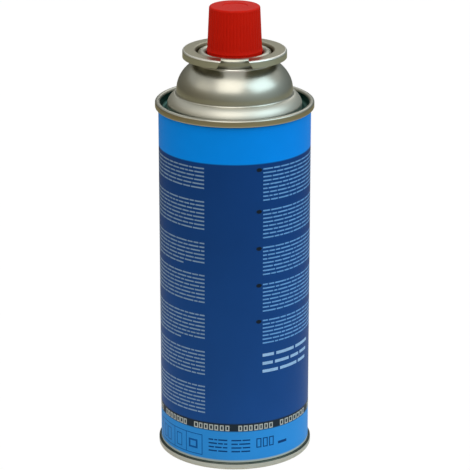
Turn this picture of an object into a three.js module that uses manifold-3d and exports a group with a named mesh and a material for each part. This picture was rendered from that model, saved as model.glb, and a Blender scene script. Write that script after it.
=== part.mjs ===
import * as THREE from "three";
import { mergeVertices } from "three/addons/utils/BufferGeometryUtils.js";
import Module from "manifold-3d";

// Nozzle-type gas cartridge for portable stoves: a sealed tinplate can with a notched
// locking collar, a crimped valve cup, a spring-loaded valve and a press-on cap.
// Millimetres, +Z up, origin at the middle of the foot, collar notch towards -Y.

const wasm = await Module();
wasm.setup();

// Side wall and double seams of the can
const bodyRadius = 32.75;
const canHeight = 158.1;
const seamHeight = 3.1;
const seamThickness = 2.15;
const topSeamProud = 1.4;
const bottomSeamProud = 1.05;
const seamCrownRadius = 0.9;
const seamHookRadius = 0.65;
const weldWidth = 1.2;
const weldProud = 0.2;
const weldRoot = 0.4;

// Bottom end, pressed inwards against the gas pressure
const bottomWallDepth = 4.6;
const bottomCornerRadius = 1.6;
const bottomDomeRise = 6.2;

// Top end: countersink groove, sloping shoulder, dome and the ledge that the collar sits on
const countersinkDepth = 4.4;
const countersinkWidth = 3.1;
const shoulderDrop = 1.0;
const shoulderRise = 4.0;
const shoulderFromDegrees = 15;
const shoulderToDegrees = 61;
const domeRadius = 24.9;
const domeFootRadius = 0.9;
const domeSkirt = 1.1;
const domeRise = 16.4;
const ledgeRise = 0.57;
const ledgeEdge = 0.5;
const neckRadius = 14.7;
const neckWall = 1.25;

// Rolled rim of the can's mouth
const rimRollRadius = 1.3;
const rimHeadroom = 0.3;

// Valve cup, crimped into the mouth over a ring gasket
const cupSheet = 0.4;
const cupRimGap = 0.12;
const rimGasketSheet = 0.25;
const rimGasketGap = 0.075;
const rimGasketSpread = 35;
const cupSkirtLength = 1.2;
const cupDepth = 7.2;
const cupCornerRadius = 1.2;
const clinchDepth = 0.55;
const clinchHeight = 2.6;
const clinchBelowRim = 2.0;
const pedestalRadius = 6.0;
const pedestalDrop = 1.4;
const pedestalCornerRadius = 0.8;
const pedestalFootRadius = 1.0;
const pedestalHoleGap = 0.6;
const crimpDepth = 0.45;
const crimpHeight = 1.2;

// Locking collar, drawn from one sheet
const collarSheet = 0.6;
const collarCupGap = 0.7;
const collarRadius = 22.3;
const collarSkirtHeight = 3.3;
const collarHeight = 4.8;
const collarBendRadius = 0.5;
const notchWidth = 11.6;
const notchFootWidth = 15.2;

// Valve: stem, gasket, spring and housing
const stemRadius = 2.0;
const stemBoreRadius = 0.9;
const stemRise = 10.2;
const stemTipTaper = 1.2;
const stemTipRadius = 1.5;
const stemShoulderRadius = 3.3;
const stemShoulderHeight = 1.3;
const stemSpigotRadius = 1.9;
const stemSpigotLength = 4.8;
const stemPortRadius = 0.45;
const gasketHeight = 1.5;
const gasketStemGap = 0.05;
const gasketWallGap = 1.0;
const housingFlangeHeight = 1.4;
const housingFlangeGap = 0.3;
const housingWall = 1.2;
const housingBoreGap = 0.3;
const housingBoreDepth = 11.5;
const tailLength = 5.0;
const tailBoreRadius = 0.8;
const springWire = 0.6;
const springRadius = 2.9;
const springTurns = 6.5;
const springClosedTurns = 1.0;
const springSeatGap = 0.05;

// Vapour tube, bent towards the notch so that it draws gas when the can lies down
const tubeBoreRadius = 1.85;
const tubeWall = 0.65;
const tubeTailGap = 0.15;
const tubeStraight = 8.0;
const tubeDrop = 15.0;
const tubeReach = 22.0;
const tubeEndDrop = 2.0;

// Room that the contents leave around the valve
const pocketGap = 2.2;
const channelGap = 0.6;

// Press-on cap
const capTopRadius = 10.9;
const capFootRadius = 11.65;
const capLipRadius = 11.9;
const capLipHeight = 0.8;
const capRise = 19.3;
const capEdgeRadius = 0.9;
const capWall = 1.0;
const capSkirtGap = 0.5;
const capFloorGap = 0.35;
const capBeadProud = 0.35;
const capBeadHeight = 1.6;
const capRibs = 48;
const capRibDepth = 0.18;
const capRibEnd = 1.2;
const capDimpleRadius = 5.6;
const capDimpleDepth = 0.25;

const running = 0.3;
const canSides = 40;
const cupSides = 32;
const valveSides = 20;

// Radii that follow from the sizes above
const rimCentreRadius = neckRadius - neckWall / 2;
const cupArchRadius = rimRollRadius + cupRimGap + cupSheet / 2;
const cupSkirtRadius = rimCentreRadius + cupArchRadius;
const cupWallRadius = rimCentreRadius - cupArchRadius;
const collarWallRadius = cupSkirtRadius + (cupSheet + collarSheet) / 2 + collarCupGap;
const ledgeRadius = collarWallRadius + collarSheet / 2;
const capSkirtRadius = cupWallRadius - cupSheet / 2 - capSkirtGap;
const pedestalBore = pedestalRadius - cupSheet / 2;
const housingBoreRadius = Math.max(stemShoulderRadius, springRadius + springWire / 2) + housingBoreGap;
const housingRadius = housingBoreRadius + housingWall;
const tailRadius = tubeBoreRadius - tubeTailGap;
const tubeRadius = tubeBoreRadius + tubeWall;

// Heights that follow from the sizes above
const domeFoot = canHeight - shoulderDrop + shoulderRise + domeFootRadius + domeSkirt;
const ledgeAngle = Math.acos(ledgeRadius / domeRadius);
const seatHeight = domeFoot + domeRise * Math.sin(ledgeAngle) + ledgeRise;
const collarTop = seatHeight + collarHeight;
const rimCentreHeight = seatHeight + collarSheet + rimHeadroom + rimRollRadius;
const cupCrown = rimCentreHeight + rimRollRadius + rimGasketSheet + 2 * rimGasketGap + cupSheet;
const cupArchHeight = cupCrown - cupSheet / 2 - cupArchRadius;
const clinchHeightCentre = rimCentreHeight - clinchBelowRim;
const cupFloor = cupCrown - cupDepth;
const pedestalTop = cupCrown - pedestalDrop;
const gasketTop = pedestalTop - cupSheet;
const gasketFoot = gasketTop - gasketHeight;
const flangeFoot = gasketFoot - housingFlangeHeight;
const stemShoulderFoot = gasketFoot - stemShoulderHeight;
const springFloor = gasketFoot - housingBoreDepth;
const housingFoot = springFloor - housingWall;
const tubeTop = housingFoot - running;

// Points of an arc about (centreR, centreZ) in the half plane of a turned profile
function arc(centreR, centreZ, radiusR, fromDegrees, toDegrees, steps, radiusZ = radiusR) {
  return Array.from({ length: steps + 1 }, (_, i) => {
    const angle = THREE.MathUtils.degToRad(fromDegrees + ((toDegrees - fromDegrees) * i) / steps);
    return [centreR + radiusR * Math.cos(angle), centreZ + radiusZ * Math.sin(angle)];
  });
}

// A ring groove or swelling in a sheet wall: even steps of one cosine wave, going down
function ringSwell(radius, height, depth, span, steps) {
  return Array.from({ length: steps + 1 }, (_, i) => {
    const share = i / steps;
    const swell = (1 - Math.cos(2 * Math.PI * share)) / 2;
    return [radius + depth * swell, height - span * (share - 0.5)];
  });
}

// Points of a path that lie closer together than a hair are one point
function withoutDoubles(path) {
  const hair = 1e-4;
  return path.filter((p, i) => {
    const last = path[i - 1];
    return i === 0 || Math.hypot(p[0] - last[0], p[1] - last[1]) > hair;
  });
}

// Outline of a sheet of even thickness that follows a centre line
function sheetOutline(centreLine, thickness) {
  const path = withoutDoubles(centreLine);
  const sides = [[], []];
  path.forEach((point, i) => {
    const before = path[Math.max(i - 1, 0)];
    const after = path[Math.min(i + 1, path.length - 1)];
    const into = new THREE.Vector2(point[0] - before[0], point[1] - before[1]);
    const out = new THREE.Vector2(after[0] - point[0], after[1] - point[1]);
    if (i === 0) into.copy(out);
    if (i === path.length - 1) out.copy(into);
    const along = into.normalize().clone().add(out.normalize()).normalize();
    const reach = thickness / 2 / along.dot(out);
    sides[0].push([point[0] - along.y * reach, point[1] + along.x * reach]);
    sides[1].unshift([point[0] + along.y * reach, point[1] - along.x * reach]);
  });
  return [...sides[0], ...sides[1]];
}

// A solid turned about the Z axis from a closed profile of [radius, height] points
function turned(profile, sides) {
  const points = withoutDoubles(profile);
  const area = points.reduce((sum, p, i) => {
    const next = points[(i + 1) % points.length];
    return sum + p[0] * next[1] - next[0] * p[1];
  }, 0);
  if (area < 0) points.reverse();
  if (points[0][0] > 0) points.push(points[0]);
  const outline = points.map(([r, z]) => new THREE.Vector2(r, z));
  return new THREE.LatheGeometry(outline, sides).rotateX(Math.PI / 2);
}

// A round bar or a pipe swept along a curve
function swept(curve, steps, radius, sides, boreRadius = 0) {
  const ring = (r) =>
    Array.from({ length: sides }, (_, i) => {
      const angle = (2 * Math.PI * i) / sides;
      return new THREE.Vector2(r * Math.cos(angle), r * Math.sin(angle));
    });
  const shape = new THREE.Shape(ring(radius));
  if (boreRadius > 0) shape.holes.push(new THREE.Path(ring(boreRadius).reverse()));
  return new THREE.ExtrudeGeometry(shape, { steps, extrudePath: curve, bevelEnabled: false });
}

// Conversions to and from the solids that are joined and cut
function solid(geometry) {
  const bare = geometry.index ? geometry.toNonIndexed() : geometry.clone();
  bare.deleteAttribute("normal");
  bare.deleteAttribute("uv");
  const merged = mergeVertices(bare, 1e-4);
  return new wasm.Manifold(
    new wasm.Mesh({
      numProp: 3,
      vertProperties: merged.attributes.position.array,
      triVerts: new Uint32Array(merged.index.array),
    }),
  );
}

function geometryOf(body) {
  const mesh = body.getMesh();
  return new THREE.BufferGeometry()
    .setAttribute("position", new THREE.BufferAttribute(mesh.vertProperties, 3))
    .setIndex(new THREE.BufferAttribute(mesh.triVerts, 1));
}

// Materials
const finish = (color, roughness, metalness) => new THREE.MeshStandardMaterial({ color, roughness, metalness });
const printedTinplate = finish(0x1a4c9a, 0.35, 0.3);
const tinplate = finish(0xb9bbb0, 0.28, 1.0);
const platedSteel = finish(0xa6a798, 0.35, 1.0);
const springSteel = finish(0xc4c6c8, 0.25, 1.0);
const redPlastic = finish(0xc01f12, 0.4, 0.0);
const whitePlastic = finish(0xe6e4dc, 0.45, 0.0);
const blackRubber = finish(0x1d1d1d, 0.85, 0.0);

const canister = new THREE.Group();

function place(name, geometry, material) {
  const mesh = new THREE.Mesh(geometry, material);
  mesh.name = name;
  canister.add(mesh);
}

// The vapour tube's centre line: straight down from the housing, then round to the notch side
function tubeLine(beyondEnd = 0) {
  const top = new THREE.Vector3(0, 0, tubeTop);
  const bend = new THREE.Vector3(0, 0, tubeTop - tubeStraight);
  const corner = new THREE.Vector3(0, 0, bend.z - tubeDrop);
  const end = new THREE.Vector3(0, -tubeReach, corner.z - tubeEndDrop);
  const line = new THREE.CurvePath();
  line.add(new THREE.LineCurve3(top, bend));
  line.add(new THREE.QuadraticBezierCurve3(bend, corner, end));
  if (beyondEnd > 0) {
    const onward = end.clone().sub(corner).setLength(beyondEnd);
    line.add(new THREE.LineCurve3(end, end.clone().add(onward)));
  }
  return line;
}

// Sealed can with its contents: side wall, bottom end and top end are seamed into one
function canProfile() {
  const bottomOuter = bodyRadius + bottomSeamProud;
  const bottomInner = bottomOuter - seamThickness;
  const topOuter = bodyRadius + topSeamProud;
  const topInner = topOuter - seamThickness;
  const domeEdge = bottomInner - bottomCornerRadius;
  const seamFoot = canHeight - seamHeight;
  const grooveRadius = countersinkWidth / 2;
  const grooveHeight = canHeight - countersinkDepth + grooveRadius;
  const shoulderEdge = topInner - countersinkWidth;
  const creaseRadius = domeRadius + domeFootRadius;
  const [low, high] = [shoulderFromDegrees, shoulderToDegrees].map(THREE.MathUtils.degToRad);
  const shoulderWidth = (shoulderEdge - creaseRadius) / (Math.cos(low) - Math.cos(high));
  const shoulderHeight = shoulderRise / (Math.sin(high) - Math.sin(low));
  const shoulderR = shoulderEdge - shoulderWidth * Math.cos(low);
  const shoulderZ = canHeight - shoulderDrop - shoulderHeight * Math.sin(low);
  const neckInner = neckRadius - neckWall;
  const rollGap = THREE.MathUtils.radToDeg(Math.acos(neckWall / 2 / rimRollRadius));
  const pocketRadius = housingRadius + pocketGap;
  const pocketTop = cupFloor - cupSheet - running;
  const pocketFloor = housingFoot - tailLength - running;
  const crown = seamCrownRadius;
  const hook = seamHookRadius;
  return [
    ...arc(0, bottomWallDepth, domeEdge, 90, 0, 4, bottomDomeRise),
    ...arc(domeEdge, bottomWallDepth - bottomCornerRadius, bottomCornerRadius, 90, 0, 2),
    ...arc(bottomInner + crown, crown, crown, 180, 270, 2),
    ...arc(bottomOuter - crown, crown, crown, 270, 360, 3),
    ...arc(bottomOuter - hook, seamHeight - hook, hook, 0, 90, 2),
    [bodyRadius, seamHeight],
    [bodyRadius, seamFoot],
    ...arc(topOuter - hook, seamFoot + hook, hook, 270, 360, 2),
    ...arc(topOuter - crown, canHeight - crown, crown, 0, 90, 3),
    ...arc(topInner + crown, canHeight - crown, crown, 90, 180, 2),
    ...arc(topInner - grooveRadius, grooveHeight, grooveRadius, 0, -180, 4),
    ...arc(shoulderR, shoulderZ, shoulderWidth, shoulderFromDegrees, shoulderToDegrees, 3, shoulderHeight),
    ...arc(creaseRadius, domeFoot - domeSkirt, domeFootRadius, 270, 180, 2),
    ...arc(0, domeFoot, domeRadius, 0, THREE.MathUtils.radToDeg(ledgeAngle), 6, domeRise),
    ...arc(ledgeRadius - ledgeEdge, seatHeight - ledgeEdge, ledgeEdge, 0, 90, 2),
    [neckRadius, seatHeight],
    ...arc(rimCentreRadius, rimCentreHeight, rimRollRadius, -rollGap, 180 + rollGap, 6),
    [neckInner, pocketTop],
    [pocketRadius, pocketTop],
    [pocketRadius, pocketFloor],
    [0, pocketFloor],
  ];
}

function can() {
  const weldHeight = canHeight - seamHeight;
  const weld = new THREE.BoxGeometry(weldWidth, weldRoot + weldProud, weldHeight);
  weld.translate(0, bodyRadius + (weldProud - weldRoot) / 2, canHeight / 2);
  const channel = swept(tubeLine(2 * channelGap), 14, tubeRadius + channelGap, 10);
  return geometryOf(solid(turned(canProfile(), canSides)).add(solid(weld)).subtract(solid(channel)));
}

// Locking collar: skirt, plate, inner wall and the flange that the rolled rim traps,
// all one pressing, with a notch cut through all but the flange
function lockingCollar() {
  const half = collarSheet / 2;
  const bend = collarBendRadius;
  const skirtLine = collarRadius - half;
  const plateLine = collarTop - half;
  const flangeLine = seatHeight + half;
  const path = [
    [skirtLine, collarTop - collarSkirtHeight],
    ...arc(skirtLine - bend, plateLine - bend, bend, 0, 90, 2),
    ...arc(collarWallRadius + bend, plateLine - bend, bend, 90, 180, 2),
    ...arc(collarWallRadius - bend, flangeLine + bend, bend, 0, -90, 2),
    [neckRadius + running, flangeLine],
  ];
  const slant = (notchFootWidth - notchWidth) / 2 / collarSkirtHeight;
  const notchFoot = seatHeight + collarSheet;
  const notchHead = collarTop + collarSheet;
  const spread = (height) => notchWidth / 2 + slant * (collarTop - height);
  const opening = new THREE.Shape([
    new THREE.Vector2(-spread(notchFoot), notchFoot),
    new THREE.Vector2(spread(notchFoot), notchFoot),
    new THREE.Vector2(spread(notchHead), notchHead),
    new THREE.Vector2(-spread(notchHead), notchHead),
  ]);
  const cutter = new THREE.ExtrudeGeometry(opening, { depth: 2 * collarRadius, bevelEnabled: false });
  cutter.rotateX(Math.PI / 2);
  return geometryOf(solid(turned(sheetOutline(path, collarSheet), canSides)).subtract(solid(cutter)));
}

// Valve cup: skirt over the rolled rim, wall clinched out under it, floor and pedestal,
// whose waist is crimped in under the housing's flange
function valveCup() {
  const half = cupSheet / 2;
  const floorLine = cupFloor - half;
  const topLine = pedestalTop - half;
  const foot = pedestalFootRadius;
  const corner = pedestalCornerRadius;
  const crimpCentre = flangeFoot - crimpHeight / 2;
  const path = [
    [cupSkirtRadius, cupArchHeight - cupSkirtLength],
    ...arc(rimCentreRadius, cupArchHeight, cupArchRadius, 0, 180, 6),
    ...ringSwell(cupWallRadius, clinchHeightCentre, clinchDepth, clinchHeight, 4),
    ...arc(cupWallRadius - cupCornerRadius, floorLine + cupCornerRadius, cupCornerRadius, 0, -90, 2),
    ...arc(pedestalRadius + foot, floorLine + foot, foot, 270, 180, 2),
    ...ringSwell(pedestalRadius, crimpCentre, -crimpDepth, -crimpHeight, 4),
    ...arc(pedestalRadius - corner, topLine - corner, corner, 0, 90, 2),
    [stemRadius + pedestalHoleGap, topLine],
  ];
  return turned(sheetOutline(path, cupSheet), cupSides);
}

// Rubber ring squeezed between the cup's arch and the rolled rim
function rimGasket() {
  const height = (rimCentreHeight + cupArchHeight) / 2;
  const radius = (rimRollRadius + cupArchRadius - cupSheet / 2) / 2;
  const path = arc(rimCentreRadius, height, radius, 90 - rimGasketSpread, 90 + rimGasketSpread, 2);
  return turned(sheetOutline(path, rimGasketSheet), cupSides);
}

// Valve stem: a nozzle with a blind bore and a side port that the gasket covers when shut
function valveStem() {
  const tip = pedestalTop + stemRise;
  const portHeight = (gasketFoot + gasketTop) / 2;
  const boreFoot = portHeight - stemPortRadius;
  const spigotFoot = stemShoulderFoot - stemSpigotLength;
  const profile = [
    [0, spigotFoot],
    [stemSpigotRadius, spigotFoot],
    [stemSpigotRadius, stemShoulderFoot],
    [stemShoulderRadius, stemShoulderFoot],
    [stemShoulderRadius, gasketFoot],
    [stemRadius, gasketFoot],
    [stemRadius, tip - stemTipTaper],
    [stemTipRadius, tip],
    [stemBoreRadius, tip],
    [stemBoreRadius, boreFoot],
    [0, boreFoot],
  ];
  const port = new THREE.CylinderGeometry(stemPortRadius, stemPortRadius, 3 * stemRadius, 10);
  port.rotateZ(Math.PI / 2).translate(0, 0, portHeight);
  return geometryOf(solid(turned(profile, valveSides)).subtract(solid(port)));
}

// Stem gasket: a flat rubber washer under the pedestal
function stemGasket() {
  const bore = stemRadius + gasketStemGap;
  const edge = pedestalBore - gasketWallGap;
  const profile = [
    [bore, gasketFoot],
    [edge, gasketFoot],
    [edge, gasketTop],
    [bore, gasketTop],
  ];
  return turned(profile, valveSides);
}

// Valve housing: flange held by the crimp, spring chamber and the tail that the tube fits
function valveHousing() {
  const tailFoot = housingFoot - tailLength;
  const flangeRadius = pedestalBore - housingFlangeGap;
  const chamfer = housingWall;
  const profile = [
    [tailBoreRadius, tailFoot],
    [tailRadius, tailFoot],
    [tailRadius, housingFoot],
    [housingRadius - chamfer, housingFoot],
    [housingRadius, housingFoot + chamfer],
    [housingRadius, flangeFoot],
    [flangeRadius, flangeFoot],
    [flangeRadius, gasketFoot],
    [housingBoreRadius, gasketFoot],
    [housingBoreRadius, springFloor],
    [tailBoreRadius, springFloor],
  ];
  return turned(profile, valveSides);
}

// Valve spring: a helix whose end turns lie closed on the floor and under the stem's shoulder
class SpringLine extends THREE.Curve {
  constructor(foot, head) {
    super();
    this.foot = foot;
    this.head = head;
  }
  getPoint(share, target = new THREE.Vector3()) {
    const turn = share * springTurns;
    const closedRise = springClosedTurns * (springWire + springSeatGap);
    const openTurns = springTurns - 2 * springClosedTurns;
    const openRise = this.head - this.foot - 2 * closedRise;
    const fromHead = springTurns - turn;
    const below = Math.min(turn / springClosedTurns, 1) * closedRise;
    const open = THREE.MathUtils.clamp((turn - springClosedTurns) / openTurns, 0, 1) * openRise;
    const above = Math.max(1 - fromHead / springClosedTurns, 0) * closedRise;
    const angle = 2 * Math.PI * turn;
    return target.set(
      springRadius * Math.cos(angle),
      springRadius * Math.sin(angle),
      this.foot + below + open + above,
    );
  }
}

function valveSpring() {
  const seat = springWire / 2 + springSeatGap;
  const line = new SpringLine(springFloor + seat, stemShoulderFoot - seat);
  return swept(line, Math.round(springTurns * 10), springWire / 2, 5);
}

// Cap: a moulded cup with fine grip ribs, pressed into the valve cup by its beaded skirt
function capOutside() {
  const skirtFoot = cupFloor + capFloorGap;
  const lipTop = cupCrown + capLipHeight;
  const capTop = cupCrown + capRise;
  const chamfer = capWall / 3;
  const profile = [
    [0, capTop - capDimpleDepth],
    [capDimpleRadius - capDimpleDepth, capTop - capDimpleDepth],
    [capDimpleRadius, capTop],
    ...arc(capTopRadius - capEdgeRadius, capTop - capEdgeRadius, capEdgeRadius, 90, 0, 2),
    [capTopRadius, capTop - capRibEnd],
    [capFootRadius, lipTop + capLipHeight],
    [capLipRadius, lipTop],
    [capLipRadius, cupCrown + capLipHeight / 4],
    [capSkirtRadius, cupCrown],
    ...ringSwell(capSkirtRadius, clinchHeightCentre, capBeadProud, capBeadHeight, 2),
    [capSkirtRadius, skirtFoot + chamfer],
    [capSkirtRadius - chamfer, skirtFoot],
    [0, skirtFoot],
  ];
  const outside = turned(profile, 2 * capRibs);
  const position = outside.attributes.position;
  const ribFoot = lipTop + capLipHeight / 2;
  const ribHead = capTop - capRibEnd / 2;
  const ribRadius = capTopRadius - capEdgeRadius;
  for (let i = 0; i < position.count; i += 1) {
    const [x, y, z] = [position.getX(i), position.getY(i), position.getZ(i)];
    const radius = Math.hypot(x, y);
    const step = Math.round((Math.atan2(x, -y) * capRibs) / Math.PI);
    if (step % 2 !== 0 && radius > ribRadius && z > ribFoot && z < ribHead) {
      const share = 1 - capRibDepth / radius;
      position.setXYZ(i, x * share, y * share, z);
    }
  }
  return outside;
}

function capInside() {
  const mouth = cupFloor + capFloorGap - running;
  const lipTop = cupCrown + capLipHeight;
  const ceiling = cupCrown + capRise - capWall - capDimpleDepth;
  const roof = capTopRadius - capWall;
  const profile = [
    [0, mouth],
    [capSkirtRadius - capWall, mouth],
    [capSkirtRadius - capWall, lipTop],
    ...arc(roof - capEdgeRadius, ceiling - capEdgeRadius, capEdgeRadius, 0, 90, 2),
    [0, ceiling],
  ];
  return turned(profile, cupSides);
}

place("can", can(), printedTinplate);
place("locking_collar", lockingCollar(), platedSteel);
place("valve_cup", valveCup(), tinplate);
place("rim_gasket", rimGasket(), blackRubber);
place("valve_housing", valveHousing(), whitePlastic);
place("stem_gasket", stemGasket(), blackRubber);
place("valve_spring", valveSpring(), springSteel);
place("vapour_tube", swept(tubeLine(), 12, tubeRadius, 8, tubeBoreRadius), whitePlastic);
place("valve_stem", valveStem(), whitePlastic);
place("cap", geometryOf(solid(capOutside()).subtract(solid(capInside()))), redPlastic);

export default canister;
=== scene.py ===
import math
import bpy
import numpy as np
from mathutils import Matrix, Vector


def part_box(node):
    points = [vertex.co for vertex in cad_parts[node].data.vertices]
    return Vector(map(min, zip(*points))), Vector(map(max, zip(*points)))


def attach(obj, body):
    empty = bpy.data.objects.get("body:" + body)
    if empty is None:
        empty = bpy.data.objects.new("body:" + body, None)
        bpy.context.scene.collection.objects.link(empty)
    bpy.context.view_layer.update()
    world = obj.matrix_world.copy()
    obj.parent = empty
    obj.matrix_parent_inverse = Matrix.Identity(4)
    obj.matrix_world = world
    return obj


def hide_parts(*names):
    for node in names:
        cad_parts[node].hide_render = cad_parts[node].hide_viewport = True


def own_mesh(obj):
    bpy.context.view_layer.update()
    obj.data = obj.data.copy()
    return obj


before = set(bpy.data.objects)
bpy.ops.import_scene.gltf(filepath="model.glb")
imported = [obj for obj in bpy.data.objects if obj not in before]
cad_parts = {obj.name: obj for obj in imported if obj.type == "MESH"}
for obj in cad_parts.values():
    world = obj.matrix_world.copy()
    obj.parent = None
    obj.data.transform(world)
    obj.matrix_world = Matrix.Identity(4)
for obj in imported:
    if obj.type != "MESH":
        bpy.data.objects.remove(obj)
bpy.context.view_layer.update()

mm = 0.001


# Camera and studio
# The photograph looks at the notch side from about a metre away and slightly above, with a long
# lens. The can stands on white paper on an olive table under soft lamps, inside a grey curtain that
# glows with painted light. The camera sees the floor as plain white and the curtain only in
# reflections.

camera_place = (0.14 * mm, -975.8 * mm, 428.0 * mm)
camera_pitch = math.radians(18.75)
camera_lens = 180.87
far_clip = 20.0

camera = bpy.data.cameras.new("camera")
camera.lens = camera_lens
camera.clip_end = far_clip
camera_object = bpy.data.objects.new("camera", camera)
camera_object.location = camera_place
camera_object.rotation_euler = (math.pi / 2 - camera_pitch, 0.0, 0.0)
bpy.context.scene.collection.objects.link(camera_object)
bpy.context.scene.camera = camera_object
bpy.context.scene.view_settings.view_transform = "Standard"


def srgb(red, green, blue):
    """Linear colour, with full opacity, of a display colour given as 0 to 255."""
    share = np.array([red, green, blue]) / 255.0
    linear = np.where(share <= 0.04045, share / 12.92, ((share + 0.055) / 1.055) ** 2.4)
    return (*linear.tolist(), 1.0)


def node(material, kind, inputs=(), **settings):
    """A new node in the material's tree; each input is a number, a colour or another node's socket."""
    made = material.node_tree.nodes.new(kind)
    for key, value in settings.items():
        setattr(made, key, value)
    for key, value in dict(inputs).items():
        if isinstance(value, bpy.types.NodeSocket):
            material.node_tree.links.new(value, made.inputs[key])
        else:
            made.inputs[key].default_value = value
    return made


def maths(material, operation, *values):
    """One step of arithmetic on sockets or numbers, as a socket."""
    return node(material, "ShaderNodeMath", enumerate(values), operation=operation).outputs[0]


def ranged(material, value, low, high, start=0.0, end=1.0):
    """A value that goes from low to high while the given one goes from start to end."""
    return node(material, "ShaderNodeMapRange", {
        "Value": value, "From Min": start, "From Max": end, "To Min": low, "To Max": high}).outputs[0]


def mixed(material, share, first, second):
    """The first colour where the share is 0 and the second where it is 1, as a socket."""
    return node(material, "ShaderNodeMix", {0: share, 6: first, 7: second}, data_type="RGBA").outputs[2]


def own_place(material):
    """The surface point in the object's own coordinates."""
    return node(material, "ShaderNodeTexCoord").outputs["Object"]


def split(material, place):
    """The point's X, Y and Z, by name."""
    return node(material, "ShaderNodeSeparateXYZ", {0: place}).outputs


def length(material, place):
    """The point's distance from the origin."""
    return node(material, "ShaderNodeVectorMath", {0: place}, operation="LENGTH").outputs["Value"]


def scaled(material, colour, factor):
    """A colour, without its opacity, made lighter or darker by a factor."""
    return node(material, "ShaderNodeVectorMath", {0: colour, 3: factor}, operation="SCALE").outputs[0]


def bumped(material, height, strength, distance):
    """The direction of a slightly uneven surface with the given pattern of heights."""
    return node(material, "ShaderNodeBump", {
        "Height": height, "Strength": strength, "Distance": distance}).outputs[0]


def noise(material, place, scale, detail, roughness=0.5):
    """Cloudy noise from 0 to 1 at a number of waves to the metre."""
    return node(material, "ShaderNodeTexNoise", {
        "Vector": place, "Scale": scale, "Detail": detail, "Roughness": roughness}).outputs["Fac"]


def new_finish(name, **constants):
    """A new material, with the shader's named inputs set to the stated constants."""
    made = bpy.data.materials.new(name)
    made.use_nodes = True
    shader = made.node_tree.nodes["Principled BSDF"]
    for key, value in constants.items():
        shader.inputs[key.replace("_", " ")].default_value = value
    return made


def feed(material, **sockets):
    """Feeds the shader's named inputs from other nodes."""
    shader = material.node_tree.nodes["Principled BSDF"]
    for key, socket in sockets.items():
        material.node_tree.links.new(socket, shader.inputs[key.replace("_", " ")])


world = bpy.data.worlds.new("studio")
world.use_nodes = True
bpy.context.scene.world = world
ambient_strength = 0.58
reflected_strength = 0.50
sky = world.node_tree.nodes["Background"]
sky.inputs["Color"].default_value = (0.98, 1.0, 0.96, 1.0)
ray = node(world, "ShaderNodeLightPath").outputs
seen_or_mirrored = maths(world, "MAXIMUM", ray["Is Camera Ray"], ray["Is Glossy Ray"])
seen_directly = maths(world, "MAXIMUM", seen_or_mirrored, ray["Is Transmission Ray"])
level = ranged(world, seen_directly, ambient_strength, reflected_strength)
world.node_tree.links.new(level, sky.inputs["Strength"])


lamp_target = (0.0, 0.0, 120 * mm)


def lamp(name, place, size, power, colour):
    """A square soft lamp at a place, aimed at the upper half of the can."""
    light = bpy.data.lights.new(name, "AREA")
    light.shape, light.size, light.energy, light.color = "SQUARE", size, power, colour
    holder = bpy.data.objects.new(name, light)
    holder.location = place
    aim = Vector(lamp_target) - Vector(place)
    holder.rotation_euler = aim.to_track_quat("-Z", "Y").to_euler()
    bpy.context.scene.collection.objects.link(holder)


lamp("front_lamp", (-0.15, -0.73, 1.12), 1.0, 4.9, (1.0, 0.96, 0.90))
lamp("right_lamp", (1.00, -0.38, 0.88), 1.2, 8.0, (0.66, 0.89, 1.0))
lamp("left_lamp", (-1.05, -0.30, 0.80), 0.80, 0.8, (1.0, 0.92, 0.78))
lamp("back_lamp", (0.20, 1.10, 0.95), 0.90, 2.2, (1.0, 1.0, 1.0))

sharp_turn = math.radians(35)


def made_piece(name, points, faces, finish, smooth=True):
    """An object at the origin with one finish. A smooth one is only sharp where its faces meet at
    more than the sharp turn."""
    mesh = bpy.data.meshes.new(name)
    mesh.from_pydata(points.reshape(-1, 3).tolist(), [], faces)
    if smooth:
        mesh.validate()
        mesh.shade_smooth()
        mesh.set_sharp_from_angle(angle=sharp_turn)
    mesh.materials.append(finish)
    piece = bpy.data.objects.new(name, mesh)
    bpy.context.scene.collection.objects.link(piece)
    return piece


def surface(name, grid, wrapped, finish):
    """A piece over a grid of points, rows by columns by three. Columns close on themselves; rows
    do where wrapped says so, and otherwise the first and last row are single points on the axis."""
    rows, columns = grid.shape[:2]
    index = np.arange(rows * columns).reshape(rows, columns)
    if not wrapped:
        index = index - (columns - 1)
        index[0], index[-1] = 0, index[-2].max() + 1
        grid = np.concatenate([grid[0, :1], grid[1:-1].reshape(-1, 3), grid[-1, :1]])
    low = index if wrapped else index[:-1]
    high = np.roll(index, -1, axis=0) if wrapped else index[1:]
    quads = np.stack([low, np.roll(low, -1, axis=1), np.roll(high, -1, axis=1), high], axis=-1)
    if wrapped:
        faces = quads.reshape(-1, 4).tolist()
    else:
        first, between, last = quads[0, :, 1:], quads[1:-1].reshape(-1, 4), quads[-1, :, :3]
        faces = [*first.tolist(), *between.tolist(), *last.tolist()]
    return made_piece(name, grid, faces, finish)


def full_turn(steps):
    """Equal steps round the axis, as angles."""
    return np.linspace(0.0, 2 * math.pi, steps + 1)[:-1]


def turned_points(profile, turns):
    """Each profile point (radius, height) carried round the Z axis, from -Y towards +X."""
    radius, height = profile[:, :1], profile[:, 1:]
    return np.stack([radius * np.sin(turns), -radius * np.cos(turns), height + 0.0 * turns], axis=-1)


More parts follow.
